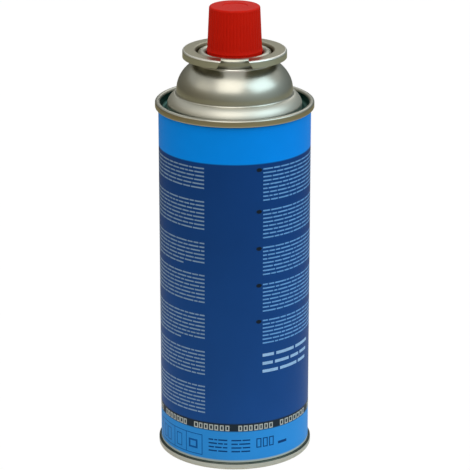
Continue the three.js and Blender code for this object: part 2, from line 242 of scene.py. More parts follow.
stage_turns = full_turn(64)
floor_radius = 3.0
floor_depth = 1.0 * mm
paper_radius = 0.10
table_radius = 0.36
paper_white = (0.86, 0.86, 0.84, 1.0)
table_olive = (0.33, 0.30, 0.20, 1.0)
black = (0.0, 0.0, 0.0, 1.0)
floor_finish = new_finish(
    "pale_floor", Emission_Color=(1.0, 1.0, 1.0, 1.0), Roughness=0.9, Specular_IOR_Level=0.1)
from_middle = length(floor_finish, own_place(floor_finish))
off_paper = ranged(floor_finish, from_middle, 0.0, 1.0, paper_radius, table_radius)
floor_tone = mixed(floor_finish, off_paper, paper_white, table_olive)
to_camera = node(floor_finish, "ShaderNodeLightPath").outputs["Is Camera Ray"]
feed(floor_finish, Base_Color=mixed(floor_finish, to_camera, floor_tone, black),
     Emission_Strength=to_camera)
floor_profile = np.array([
    [0.0, 0.0], [0.3, 0.0], [1.0, 0.0], [floor_radius, 0.0],
    [floor_radius, -floor_depth], [1.0, -floor_depth], [0.0, -floor_depth],
])
floor = surface("floor", turned_points(floor_profile, stage_turns)[::-1], False, floor_finish)

curtain_radius = 0.80
curtain_foot, curtain_head = 0.02, 0.50
curtain_sheet = 0.01
shade_at_foot, shade_at_head = 0.24, 0.42
shade_in_front, shade_behind = 1.15, 0.55
left_tint = (0.62, 0.55, 0.38, 1.0)
right_tint = (0.90, 1.05, 1.05, 1.0)
# The curtain is black and glows with painted light: brighter towards its head and in front, warm on the
# left and cool on the right.
curtain_finish = new_finish("glowing_curtain", Base_Color=black)
axes = split(curtain_finish, own_place(curtain_finish))
rise = ranged(curtain_finish, axes["Z"], shade_at_foot, shade_at_head, curtain_foot, curtain_head)
side = ranged(curtain_finish, axes["X"], 0.0, 1.0, -curtain_radius, curtain_radius)
depth = ranged(curtain_finish, axes["Y"], shade_in_front, shade_behind, -curtain_radius, curtain_radius)
feed(curtain_finish, Emission_Color=mixed(curtain_finish, side, left_tint, right_tint),
     Emission_Strength=maths(curtain_finish, "MULTIPLY", rise, depth))
curtain_profile = np.array([
    [curtain_radius, curtain_foot], [curtain_radius + curtain_sheet, curtain_foot],
    [curtain_radius + curtain_sheet, curtain_head], [curtain_radius, curtain_head],
])
curtain = surface("curtain", turned_points(curtain_profile, stage_turns), True, curtain_finish)
curtain.visible_camera = curtain.visible_diffuse = curtain.visible_shadow = False
curtain.visible_transmission = curtain.visible_volume_scatter = False


# Printed side wall
# A rolled tinplate sheet, welded along the back and printed before it is rolled: light blue at
# the top and foot, navy between, a black band above the foot, and a bare margin at the weld. A
# thin dark line of painted shadow lies just under the upper seam.

can_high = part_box("can")[1]
top_seam_proud = 1.40 * mm
body_radius = can_high.x - top_seam_proud
seam_height = 3.1 * mm
can_height = 158.1 * mm
wall_sheet = 0.20 * mm
wall_foot = 1.6 * mm
wall_head = can_height - wall_foot
weld_width = 1.2 * mm
weld_proud = 0.2 * mm
bare_margin = 2.4 * mm
print_foot = 3.7 * mm
black_foot = 17.4 * mm
navy_foot = 21.2 * mm
navy_head = 138.6 * mm
shade_line = 0.6 * mm
foot_blue = srgb(45, 137, 212)
head_blue = srgb(0, 137, 240)
seam_shadow_blue = srgb(14, 54, 84)
bare_edge = srgb(176, 184, 172)
navy_low = srgb(24, 70, 134)
navy_high = srgb(16, 59, 121)
print_black = srgb(34, 44, 54)
bare_tin = srgb(186, 184, 172)
edge_blur = 0.05 * mm
band_clouds, print_grain = 26.0, 900.0
varnish = {"Specular_IOR_Level": 0.05, "Coat_Weight": 0.02, "Coat_Roughness": 0.15}
wall_step = 3.0 * mm
weld_steps, half_wall_steps = 12, 120


def refined(path, longest):
    """The path with each stretch longer than the given length cut into equal steps."""
    steps = np.maximum(1, np.ceil(np.hypot(*np.diff(path, axis=0).T) / longest)).astype(int)
    marks = np.concatenate([np.arange(n) / n + i for i, n in enumerate(steps)] + [[len(path) - 1.0]])
    return np.stack([np.interp(marks, np.arange(len(path)), part) for part in path.T], axis=-1)


varnished_print = new_finish("varnished_print", **varnish)
print_place = own_place(varnished_print)
print_axes = split(varnished_print, print_place)
print_share = maths(varnished_print, "DIVIDE", print_axes["Z"], can_height)
print_bands = node(varnished_print, "ShaderNodeValToRGB", {0: print_share})
ramp = print_bands.color_ramp
ramp.elements[0].position, ramp.elements[0].color = 0.0, bare_edge
ramp.elements[1].position, ramp.elements[1].color = 1.0, seam_shadow_blue
# The dark blue line just under the upper seam is a painted shadow of the seam, not print.
print_head = can_height - seam_height - shade_line
for height, colour in [
    (print_foot, bare_edge), (print_foot + edge_blur, foot_blue),
    (black_foot - edge_blur, foot_blue), (black_foot, print_black),
    (navy_foot - edge_blur, print_black), (navy_foot, navy_low),
    (navy_head, navy_high), (navy_head + edge_blur, head_blue),
    (print_head, head_blue), (print_head + shade_line, seam_shadow_blue),
]:
    ramp.elements.new(height / can_height).color = colour
print_cloud = noise(varnished_print, print_place, band_clouds, 3.0)
print_tone = ranged(varnished_print, print_cloud, 0.94, 1.06, 0.3, 0.7)
print_ink = scaled(varnished_print, print_bands.outputs["Color"], print_tone)
aside = maths(varnished_print, "ABSOLUTE", print_axes["X"])
at_weld = maths(varnished_print, "MULTIPLY",
                maths(varnished_print, "LESS_THAN", aside, bare_margin),
                maths(varnished_print, "GREATER_THAN", print_axes["Y"], 0.0))
fine_grain = noise(varnished_print, print_place, print_grain, 2.0)
feed(varnished_print, Base_Color=mixed(varnished_print, at_weld, print_ink, bare_tin),
     Metallic=at_weld, Roughness=ranged(varnished_print, fine_grain, 0.38, 0.46))

wall_profile = np.array([
    [body_radius - wall_sheet, wall_foot], [body_radius, wall_foot],
    [body_radius, wall_head], [body_radius - wall_sheet, wall_head],
    [body_radius - wall_sheet, wall_foot],
])
half_weld = weld_width / body_radius
wall_turns = np.concatenate([
    np.linspace(0.0, math.pi - half_weld, half_wall_steps + 1)[:-1],
    np.linspace(math.pi - half_weld, math.pi + half_weld, weld_steps + 1),
    np.linspace(math.pi + half_weld, 2 * math.pi, half_wall_steps + 1)[1:-1],
])
wall_grid = turned_points(refined(wall_profile, wall_step)[:-1], wall_turns)
from_weld = np.abs(wall_turns - math.pi) / half_weld
weld_swell = weld_proud * 0.5 * (1 + np.cos(math.pi * np.clip(2 * from_weld - 0.5, 0.0, 1.0)))
swell_share = 1 + weld_swell / body_radius
wall_grid[..., :2] *= swell_share[:, None]
side_wall = surface("side_wall", wall_grid, True, varnished_print)
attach(side_wall, "canister")
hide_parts("can")


# Print on the side wall
# Columns of small print, three bold rows, words on the black band and boxes and figures on the
# foot band. They are plain bars, frames and ovals in the places of the real print.

print_film = 0.02 * mm
row_pitch = 1.72 * mm
left_print = srgb(122, 148, 180)
right_print = srgb(102, 156, 214)
bold_print = srgb(150, 186, 226)
band_print = srgb(172, 176, 174)
dark_print = srgb(10, 60, 116)
box_print = srgb(14, 82, 150)
badge_print = srgb(24, 34, 46)
ink_clouds = 300.0
ink_roughness = 0.34
bar_steps, box_steps = 8, 24
print_rng = np.random.default_rng(7)


def film_finish(name, colour):
    """A thin layer of ink: one colour with a faint cloud, under the same varnish as the wall."""
    made = new_finish(name, Roughness=ink_roughness, **varnish)
    tone = ranged(made, noise(made, own_place(made), ink_clouds, 2.0), 0.82, 1.12)
    feed(made, Base_Color=scaled(made, colour[:3], tone))
    return made


def row_of_bars(left, right, foot, height, word, gap):
    """Plain bars (left, right, foot, head) of random length that fill one row, a gap apart."""
    shortest, longest = 0.4, 1.6
    tries = int((right - left) / (shortest * word)) + 2
    widths = word * print_rng.uniform(shortest, longest, tries)
    starts = left + np.concatenate([[0.0], np.cumsum(widths + gap)[:-1]])
    bars = np.stack([starts, starts + widths, foot + 0 * starts, foot + height + 0 * starts], axis=-1)
    bars = bars[starts + widths <= right]
    stretch = (right - left) / (bars[-1, 1] - left)
    bars[:, :2] = left + stretch * (bars[:, :2] - left)
    return bars


def wrapped_bars(name, bars, finish, steps=bar_steps):
    """Flat bars laid round the wall: arc length becomes the angle, and each bar is a thin curved
    block with its foot just inside the wall."""
    across = np.linspace(0.0, 1.0, steps + 1)
    along = bars[:, :1] + (bars[:, 1:2] - bars[:, :1]) * across
    angle = along / body_radius
    outer, inner = body_radius + print_film, body_radius - print_film
    layers = []
    for radius, edge in [(outer, 2), (outer, 3), (inner, 3), (inner, 2)]:
        height = bars[:, edge:edge + 1] + 0.0 * along
        layers.append(np.stack([radius * np.sin(angle), -radius * np.cos(angle), height], axis=-1))
    points = np.stack(layers, axis=1)
    index = np.arange(points[..., 0].size).reshape(points.shape[:3])
    after = np.roll(index, -1, axis=1)
    sides = np.stack([index[..., :-1], index[..., 1:], after[..., 1:], after[..., :-1]], axis=-1)
    ends = np.concatenate([index[:, ::-1, 0], index[:, :, -1]])
    faces = [*sides.reshape(-1, 4).tolist(), *ends.tolist()]
    piece = made_piece(name, points, faces, finish, smooth=False)
    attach(piece, "canister")
    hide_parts("can")


column_width = 36.0 * mm
column_inset = 13.2 * mm
right_inset = 12.3 * mm
row_drop = 0.72 * mm
small_height = 0.62 * mm
small_word = 3.6 * mm
small_gap = 0.42 * mm
left_tops = [136.7, 122.0, 103.5, 89.0, 70.9, 54.2, 38.1]
left_rows = [6, 8, 7, 8, 8, 7, 8]
left_short = [0.0, 0.0, 0.30, 0.0, 0.35, 0.0, 0.0]
right_tops = [136.7, 118.3, 101.8, 85.2, 68.8]
right_rows = [9, 8, 8, 8, 7]


def small_rows(left, right, top, rows, short=0.0):
    """A block of small print from its top down, whose last row ends early by a share of the column."""
    ends = [right] * (rows - 1) + [right - short * column_width]
    return [row_of_bars(left, end, top * mm - row_drop - row * row_pitch,
                        small_height, small_word, small_gap) for row, end in enumerate(ends)]


blocks = [small_rows(-column_inset - column_width, -column_inset, *block)
          for block in zip(left_tops, left_rows, left_short)]
wrapped_bars("left_print", np.concatenate(sum(blocks, [])), film_finish("pale_ink", left_print))
blocks = [small_rows(right_inset, right_inset + column_width, *block)
          for block in zip(right_tops, right_rows)]
wrapped_bars("right_print", np.concatenate(sum(blocks, [])), film_finish("sky_ink", right_print))

bold_tops = [53.6, 49.8, 46.2]
bold_height = 1.35 * mm
bold_drop = 1.85 * mm
bold_word = 6.4 * mm
bold_gap = 1.1 * mm
bold_ends = [29.0, 28.0, 27.0]
bars = [row_of_bars(right_inset, right_inset + end * mm, top * mm - bold_drop,
                    bold_height, bold_word, bold_gap)
        for top, end in zip(bold_tops, bold_ends)]
wrapped_bars("bold_print", np.concatenate(bars), film_finish("white_ink", bold_print))

word_spans = [(-38.4, -22.1), (-18.7, -1.6), (1.6, 17.9), (21.2, 40.1), (44.0, 61.0), (65.0, 82.0),
              (-58.0, -42.0), (-80.0, -62.0)]
word_foot = 17.9 * mm
word_height = 2.6 * mm
word_frames = 7
word_stroke = 0.5 * mm
fewest_filled, most_filled = 0.66, 0.86


def frame_bars(left, right, foot, head, stroke):
    """A plain frame of four bars."""
    return [[left, left + stroke, foot, head], [right - stroke, right, foot, head],
            [left + stroke, right - stroke, foot, foot + stroke],
            [left + stroke, right - stroke, head - stroke, head]]


bars = []
for start, end in word_spans:
    edges = np.linspace(start * mm, end * mm, word_frames + 1)
    widths = np.diff(edges) * print_rng.uniform(fewest_filled, most_filled, word_frames)
    for edge, width in zip(edges, widths):
        bars.append(frame_bars(edge, edge + width, word_foot, word_foot + word_height, word_stroke))
wrapped_bars("band_words", np.concatenate(bars), film_finish("band_ink", band_print))

box_foot, box_head = 5.3 * mm, 15.0 * mm
box_edges = np.array([-42.9, -30.7, -23.2, -14.9]) * mm
line_width = 0.35 * mm
uprights = np.stack([
    box_edges, box_edges + line_width, box_foot + 0 * box_edges, box_head + 0 * box_edges], axis=-1)
rails = np.array([[box_edges[0], box_edges[-1] + line_width, foot, foot + line_width]
                  for foot in (box_foot, box_head - line_width)])
mark_foot, mark_head = 7.0 * mm, 13.0 * mm
mark_spans = [(-40.0, -37.4), (-36.4, -33.4), (-29.0, -25.6)]
box_marks = [bar for left, right in mark_spans
             for bar in frame_bars(left * mm, right * mm, mark_foot, mark_head, line_width)]
box_marks += frame_bars(-21.6 * mm, -17.0 * mm, 7.9 * mm, 12.1 * mm, 2.4 * line_width)
note_height = 0.62 * mm
note_word = 2.4 * mm
note_gap = 0.4 * mm
note_top, note_pitch, note_rows = 13.2, 1.75, 4
note_spans = [(-11.6, -3.2), (-1.4, 6.8)]
notes = [row_of_bars(left * mm, right * mm, (note_top - note_pitch * row) * mm,
                     note_height, note_word, note_gap)
         for left, right in note_spans for row in range(note_rows)]
figure_foot, figure_head = 9.5 * mm, 13.9 * mm
figure_stroke = 0.45 * mm
figure_spans = [(9.6, 11.9), (12.6, 14.9), (15.6, 17.9)]
figures = [bar for left, right in figure_spans
           for bar in frame_bars(left * mm, right * mm, figure_foot, figure_head, figure_stroke)]
dash = [[20.2 * mm, 25.0 * mm, figure_foot, figure_foot + 1.2 * mm]]
boxes = np.concatenate([uprights, rails, box_marks])
wrapped_bars("foot_boxes", boxes, film_finish("blue_ink", box_print), box_steps)
wrapped_bars("foot_notes", np.concatenate([*notes, figures, dash]), film_finish("note_ink", dark_print))

badge_arc = 10.5 * mm
badge_half_width, badge_half_height = 1.25 * mm, 0.85 * mm
badge_drop = 0.7 * mm
badge_heights = np.array(right_tops) * mm - badge_drop
badge_rows = np.linspace(-1.0, 1.0, 13)
badge_middles = 0.5 * (badge_rows[1:] + badge_rows[:-1])
badge_half = badge_half_width * np.sqrt(np.clip(1 - badge_middles ** 2, 0.0, 1.0))
bars = [np.stack([badge_arc - badge_half, badge_arc + badge_half,
                  centre + badge_half_height * badge_rows[:-1],
                  centre + badge_half_height * badge_rows[1:]], axis=-1) for centre in badge_heights]
wrapped_bars("row_badges", np.concatenate(bars), film_finish("badge_ink", badge_print))


# Bottom end
# A tinplate disc pressed inwards, with its edge rolled together with the wall's foot into the
# lower double seam, on which the can stands.

bottom_seam_proud = 1.05 * mm
seam_thickness = 2.15 * mm
seam_crown = 0.9 * mm
seam_hook = 0.65 * mm
end_sheet = 0.3 * mm
bottom_wall_depth = 4.6 * mm
bottom_corner = 1.6 * mm
bottom_rise = 6.2 * mm
seam_lap = 0.02 * mm
same_place = 1e-7
seam_step = 1.2 * mm
fine_step = 0.8 * mm
tin_clouds, tin_grain = 45.0, 1400.0
cloud_share = 0.7
grain_strength, grain_depth = 0.02, 0.01 * mm
seam_gap_shadow = srgb(84, 92, 84)
gap_shadow_reach = (body_radius, body_radius + 2 * bottom_seam_proud)
gap_shadow_levels = (seam_height - 0.9 * seam_hook, seam_height + mm)
round_turns = full_turn(240)


def arc(centre_r, centre_z, radius, start, end, steps, radius_z=None):
    """Points of an arc, or of an ellipse's quarter, between two angles in degrees."""
    turn = np.radians(np.linspace(start, end, steps + 1))
    tall = radius if radius_z is None else radius_z
    return np.stack([centre_r + radius * np.cos(turn), centre_z + tall * np.sin(turn)], axis=-1)


def joined(*stretches):
    """Stretches of a profile one after another, without points that lie on each other."""
    path = np.concatenate([np.atleast_2d(stretch) for stretch in stretches])
    apart = np.hypot(*np.diff(path, axis=0).T) > same_place
    return path[np.concatenate([[True], apart])]


def sheet_outline(path, sheet, longest):
    """Outline of a sheet whose one face follows the path; the other lies a thickness to its left."""
    fine = refined(path, longest)
    along = np.diff(fine, axis=0)
    along = along / np.hypot(*along.T)[:, None]
    into = np.concatenate([along[:1], along])
    out = np.concatenate([along, along[-1:]])
    mean = into + out
    mean = mean / np.hypot(*mean.T)[:, None]
    reach = sheet / np.sum(mean * out, axis=1, keepdims=True)
    other = fine + reach * np.stack([-mean[:, 1], mean[:, 0]], axis=-1)
    return np.concatenate([other, fine[::-1]])


def outward(profile):
    """The closed profile, turned round if needed so that its surface faces out."""
    after = np.roll(profile, -1, axis=0)
    area = np.sum(profile[:, 0] * after[:, 1] - after[:, 0] * profile[:, 1])
    return profile if area > 0 else profile[::-1]


def tin_finish(name, colour, low_gloss, high_gloss, stain):
    """Tinplate: a bright metal with a fine rolled grain, cloudy gloss and a faint warm stain."""
    made = new_finish(name, Metallic=1.0)
    place = own_place(made)
    clouded = maths(made, "MULTIPLY", noise(made, place, tin_clouds, 4.0, 0.6), cloud_share)
    grain = noise(made, place, tin_grain, 2.0)
    speck = maths(made, "ADD", maths(made, "MULTIPLY", grain, 1 - cloud_share), clouded)
    feed(made, Base_Color=mixed(made, clouded, colour, stain),
         Roughness=ranged(made, speck, low_gloss, high_gloss, 0.3, 0.7),
         Normal=bumped(made, grain, grain_strength, grain_depth))
    return made


def paint_zone(material, colour, reach, levels, roughness=None):
    """Gives one colour, and a roughness if stated, to the part of a turned piece between two radii
    and two heights."""
    axes = split(material, own_place(material))
    flat = node(material, "ShaderNodeCombineXYZ", {"X": axes["X"], "Y": axes["Y"]}).outputs[0]
    inside = 1.0
    for value, (start, end) in ((length(material, flat), reach), (axes["Z"], levels)):
        above = maths(material, "GREATER_THAN", value, start)
        below = maths(material, "LESS_THAN", value, end)
        inside = maths(material, "MULTIPLY", inside, maths(material, "MULTIPLY", above, below))
    shader = material.node_tree.nodes["Principled BSDF"]
    plain = shader.inputs["Base Color"].links[0].from_socket
    feed(material, Base_Color=mixed(material, inside, plain, colour))
    if roughness is not None:
        gloss = shader.inputs["Roughness"].links[0].from_socket
        zoned = node(material, "ShaderNodeMix", {0: inside, 2: gloss, 3: roughness})
        feed(material, Roughness=zoned.outputs[0])


painted_highlight_tin = srgb(240, 238, 230)
seam_tin = tin_finish("seam_tin", srgb(206, 202, 190), 0.28, 0.36, srgb(186, 178, 158))
# A dark band of painted shadow on top of the lower seam's hook, where the gap under the printed wall lies
# in shade.
paint_zone(seam_tin, seam_gap_shadow, gap_shadow_reach, gap_shadow_levels)
bottom_outer = body_radius + bottom_seam_proud
bottom_inner = bottom_outer - seam_thickness
bottom_edge = bottom_inner - bottom_corner
bottom_path = joined(
    [0.0, bottom_wall_depth + bottom_rise],
    arc(0.0, bottom_wall_depth, bottom_edge, 90, 0, 40, bottom_rise),
    arc(bottom_edge, bottom_wall_depth - bottom_corner, bottom_corner, 90, 0, 8),
    arc(bottom_inner + seam_crown, seam_crown, seam_crown, 180, 270, 8),
    arc(bottom_outer - seam_crown, seam_crown, seam_crown, 270, 360, 8),
    arc(bottom_outer - seam_hook, seam_height - seam_hook, seam_hook, 0, 90, 6),
    [body_radius + seam_lap, seam_height],
)
bottom_outline = outward(sheet_outline(bottom_path[1:], end_sheet, seam_step))
bottom_end = surface("bottom_end", turned_points(bottom_outline, round_turns), True, seam_tin)
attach(bottom_end, "canister")
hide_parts("can")


# Top end
# One tinplate pressing: upper double seam, countersink groove, rounded shoulder and dome, drawn
# in to a neck whose rolled rim holds the locking collar and the valve cup.

countersink_depth = 4.4 * mm
countersink_width = 3.1 * mm
shoulder_drop = 1.0 * mm
shoulder_rise = 4.0 * mm
shoulder_from, shoulder_to = 15.0, 61.0
dome_radius = 24.9 * mm
dome_foot_round = 0.9 * mm
dome_skirt = 1.1 * mm
dome_rise = 16.4 * mm
ledge_radius = 17.195 * mm
ledge_edge = 0.5 * mm
neck_radius = 14.7 * mm
neck_wall = 1.25 * mm
neck_depth = 2.0 * mm
rim_roll = 1.3 * mm

collar_low, collar_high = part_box("locking_collar")
seat_height = collar_low.z
top_outer = body_radius + top_seam_proud
top_inner = top_outer - seam_thickness
groove_round = countersink_width / 2
groove_height = can_height - countersink_depth + groove_round
shoulder_edge = top_inner - countersink_width
crease_radius = dome_radius + dome_foot_round
low_turn, high_turn = math.radians(shoulder_from), math.radians(shoulder_to)
shoulder_width = (shoulder_edge - crease_radius) / (math.cos(low_turn) - math.cos(high_turn))
shoulder_height = shoulder_rise / (math.sin(high_turn) - math.sin(low_turn))
shoulder_r = shoulder_edge - shoulder_width * math.cos(low_turn)
shoulder_z = can_height - shoulder_drop - shoulder_height * math.sin(low_turn)
dome_foot = can_height - shoulder_drop + shoulder_rise + dome_foot_round + dome_skirt
ledge_turn = math.degrees(math.acos(ledge_radius / dome_radius))
rim_centre = neck_radius - neck_wall / 2
rim_height = can_high.z - rim_roll
roll_gap = math.degrees(math.acos(neck_wall / 2 / rim_roll))
top_path = joined(
    [body_radius + seam_lap, can_height - seam_height],
    arc(top_outer - seam_hook, can_height - seam_height + seam_hook, seam_hook, 270, 360, 6),
    arc(top_outer - seam_crown, can_height - seam_crown, seam_crown, 0, 90, 8),
    arc(top_inner + seam_crown, can_height - seam_crown, seam_crown, 90, 180, 8),
    arc(top_inner - groove_round, groove_height, groove_round, 0, -180, 18),
    arc(shoulder_r, shoulder_z, shoulder_width, shoulder_from, shoulder_to, 14, shoulder_height),
    arc(crease_radius, dome_foot - dome_skirt, dome_foot_round, 270, 180, 8),
    arc(0.0, dome_foot, dome_radius, 0, ledge_turn, 40, dome_rise),
    arc(ledge_radius - ledge_edge, seat_height - ledge_edge, ledge_edge, 0, 90, 8),
    [neck_radius, seat_height],
    arc(rim_centre, rim_height, rim_roll, -roll_gap, 180 + roll_gap, 30),
    [neck_radius - neck_wall, seat_height - neck_depth],
)
groove_shade_teal = srgb(50, 104, 96)
groove_reach, groove_levels = (28.8 * mm, 32.2 * mm), (150.0 * mm, 157.0 * mm)
bead_reach = (ledge_radius - ledge_edge, 1.02 * ledge_radius)
bead_levels = (seat_height - 1.7 * ledge_edge, seat_height + mm)
shoulder_sheen_tin = srgb(211, 209, 198)
shoulder_roughness = 0.45
shoulder_reach = (crease_radius - 0.3 * mm, shoulder_edge + mm)
shoulder_levels = (can_height - 3.0 * mm, dome_foot - 0.5 * dome_skirt)
seam_reflection_brown = srgb(186, 174, 146)
reflection_reach = (body_radius, top_outer + mm)
reflection_levels = (can_height - seam_height - mm, can_height - 0.6 * seam_crown)
dome_tin = tin_finish("dome_tin", srgb(200, 200, 192), 0.29, 0.34, srgb(184, 179, 160))
# The countersink groove's walls are painted dark teal: painted shade in the recess.
paint_zone(dome_tin, groove_shade_teal, groove_reach, groove_levels)
# The rounded edge of the ledge under the collar is painted light tin: a painted highlight.
paint_zone(dome_tin, painted_highlight_tin, bead_reach, bead_levels)
# The shoulder is painted a lighter tin, a painted highlight that spreads its sheen, and it is made
# rougher.
paint_zone(dome_tin, shoulder_sheen_tin, shoulder_reach, shoulder_levels, shoulder_roughness)
# The upper seam's outside is painted brown: a painted reflection of the olive table beyond the paper.
paint_zone(dome_tin, seam_reflection_brown, reflection_reach, reflection_levels)
top_outline = outward(sheet_outline(top_path, end_sheet, fine_step))
top_end = surface("top_end", turned_points(top_outline, round_turns), True, dome_tin)
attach(top_end, "canister")
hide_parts("can")


# Locking collar
# A plated steel pressing trapped under the rolled rim: flange, inner wall, flat plate and
# turned-down skirt, with a notch with slanted sides cut in front for the stove's guide peg.

collar_sheet = 0.6 * mm
collar_bend = 0.5 * mm
collar_skirt = 3.3 * mm
notch_width = 11.6 * mm
notch_foot_width = 15.2 * mm
cup_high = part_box("valve_cup")[1]
collar_cup_gap = 0.7 * mm
running = 0.3 * mm
collar_radius = collar_high.x
collar_top = collar_high.z
collar_wall = cup_high.x + collar_cup_gap
skirt_highlight_tin = srgb(206, 206, 190)
edge_width, edge_height = 0.75 * mm, 0.6 * mm
skirt_reach = 0.2 * mm
collar_plate = tin_finish("collar_plate", srgb(176, 173, 154), 0.30, 0.38, srgb(158, 149, 122))
# The collar plate's outer bend is painted light tin: a painted highlight.
paint_zone(collar_plate, painted_highlight_tin, (collar_radius - edge_width, collar_radius),
           (collar_top - edge_height, collar_top + mm))
# The skirt's outside is painted lighter tin: a painted highlight that brightens its reflection.
paint_zone(collar_plate, skirt_highlight_tin, (collar_radius - skirt_reach, collar_radius + mm),
           (collar_low.z, collar_top - edge_height))
collar_path = joined(
    [collar_radius, collar_top - collar_skirt],
    arc(collar_radius - collar_bend - collar_sheet / 2, collar_top - collar_bend - collar_sheet / 2,
        collar_bend + collar_sheet / 2, 0, 90, 10),
    arc(collar_wall + collar_bend + collar_sheet / 2, collar_top - collar_bend - collar_sheet / 2,
        collar_bend + collar_sheet / 2, 90, 180, 10),
    arc(collar_wall + collar_sheet / 2 - collar_bend, seat_height + collar_bend + collar_sheet / 2,
        collar_bend - collar_sheet / 2, 0, -90, 10),
    [neck_radius + running, seat_height + collar_sheet],
)
collar_outline = outward(sheet_outline(collar_path, collar_sheet, fine_step))
notch_slant = (notch_foot_width - notch_width) / 2 / collar_skirt
notched_steps = 240


def notched_points(profile, steps):
    """The profile carried round from one side of the notch to the other. Each point starts where
    the notch's slanted side cuts its own circle, so the cut faces are flat."""
    radius, height = profile[:, :1], profile[:, 1:]
    half_width = notch_width / 2 + notch_slant * (collar_top - height)
    start = np.arcsin(half_width / radius)
    turn = start + (2 * math.pi - 2 * start) * np.linspace(0.0, 1.0, steps + 1)
    return np.stack([radius * np.sin(turn), -radius * np.cos(turn), height + 0.0 * turn], axis=-1)


def capped_strip(name, grid, finish):
    """A strip whose rows close on themselves and whose two ends are closed by flat faces."""
    rows, columns = grid.shape[:2]
    index = np.arange(rows * columns).reshape(rows, columns)
    after = np.roll(index, -1, axis=0)
    sides = np.stack([index[:, :-1], index[:, 1:], after[:, 1:], after[:, :-1]], axis=-1).reshape(-1, 4)
    strip = np.arange(rows // 2 - 1)
    ends = []
    for column, flip in ((0, False), (columns - 1, True)):
        edge = index[:, column]
        quads = np.stack([edge[strip], edge[rows - 1 - strip],
                          edge[rows - 2 - strip], edge[strip + 1]], axis=-1)
        ends += (quads if flip else quads[:, ::-1]).tolist()
    return made_piece(name, grid, [*sides.tolist(), *ends], finish)


locking_collar = capped_strip("collar_plate", notched_points(collar_outline, notched_steps), collar_plate)
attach(locking_collar, "canister")
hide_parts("locking_collar")


# Valve cup
# A tinplate pressing over the rolled rim: skirt, arch, wall clinched out under the rim, floor
# and a pedestal whose waist is crimped in under the valve housing.

cup_sheet = 0.4 * mm
cup_skirt = 1.2 * mm
cup_depth = 7.2 * mm
cup_corner = 1.2 * mm
cup_rim_gap = 0.12 * mm
clinch_depth = 0.55 * mm
clinch_height = 2.6 * mm
clinch_below_rim = 2.0 * mm
pedestal_radius = 6.0 * mm
pedestal_drop = 1.4 * mm
pedestal_corner = 0.8 * mm
pedestal_foot = 1.0 * mm
pedestal_hole = 2.6 * mm
crimp_depth = 0.45 * mm
crimp_height = 1.2 * mm


def ring_swell(radius, height, depth, span, steps):
    """A ring groove or swelling of a wall: one cosine wave of the given depth, going down."""
    share = np.linspace(0.0, 1.0, steps + 1)
    swell = (1 - np.cos(2 * math.pi * share)) / 2
    return np.stack([radius + depth * swell, height - span * (share - 0.5)], axis=-1)


cup_crown = cup_high.z
cup_floor = cup_crown - cup_depth
cup_arch = rim_roll + cup_rim_gap
cup_arch_height = cup_crown - cup_sheet - cup_arch
cup_wall_inside = rim_centre - cup_arch
housing_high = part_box("valve_housing")[1]
housing_flange = 1.4 * mm
crimp_centre = housing_high.z - housing_flange - crimp_height / 2
pedestal_top = cup_crown - pedestal_drop
pedestal_inside = pedestal_radius - cup_sheet / 2
cup_path = joined(
    [rim_centre + cup_arch, cup_arch_height - cup_skirt],
    arc(rim_centre, cup_arch_height, cup_arch, 0, 180, 30),
    ring_swell(cup_wall_inside, rim_height - clinch_below_rim, clinch_depth, clinch_height, 16),
    arc(cup_wall_inside + cup_sheet / 2 - cup_corner, cup_floor - cup_sheet / 2 + cup_corner,
        cup_corner + cup_sheet / 2, 0, -90, 8),
    arc(pedestal_radius + pedestal_foot, cup_floor - cup_sheet / 2 + pedestal_foot,
        pedestal_foot + cup_sheet / 2, 270, 180, 8),
    ring_swell(pedestal_inside, crimp_centre, -crimp_depth, -crimp_height, 16),
    arc(pedestal_radius - pedestal_corner, pedestal_top - cup_sheet / 2 - pedestal_corner,
        pedestal_corner - cup_sheet / 2, 0, 90, 8),
    [pedestal_hole, pedestal_top - cup_sheet],
)
cup_tin = tin_finish("cup_tin", srgb(200, 200, 188), 0.28, 0.36, srgb(180, 174, 156))
cup_outline = outward(sheet_outline(cup_path, -cup_sheet, fine_step))
valve_cup = surface("crimped_cup", turned_points(cup_outline, round_turns), True, cup_tin)
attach(valve_cup, "canister")
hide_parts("valve_cup")


# Cap
# A moulded red plastic cup with 48 fine grip ribs, a shallow ring recess on its top and a beaded
# skirt that plugs into the valve cup.

cap_low, cap_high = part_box("cap")
cap_top_radius = 10.9 * mm
cap_foot_radius = 11.65 * mm
cap_lip_radius = 11.9 * mm
cap_lip = 0.8 * mm
cap_lip_round = 0.25 * mm
cap_edge = 0.9 * mm
cap_chamfer = 0.3 * mm
cap_wall = 1.0 * mm
cap_skirt_gap = 0.5 * mm
cap_bead = 0.35 * mm
cap_bead_height = 1.6 * mm
cap_ribs = 48
cap_rib_depth = 0.18 * mm
cap_rib_end = 1.2 * mm
cap_rib_fade = 0.5 * mm
cap_rib_power = 1.5
steps_per_rib = 12
cap_step = 0.7 * mm
cap_dimple_radius = 5.6 * mm
cap_dimple_depth = 0.25 * mm
cap_skirt_radius = cup_wall_inside - cup_sheet - cap_skirt_gap
lip_top = cup_crown + cap_lip
cap_top = cap_high.z
cap_ceiling = cap_top - cap_dimple_depth - cap_wall

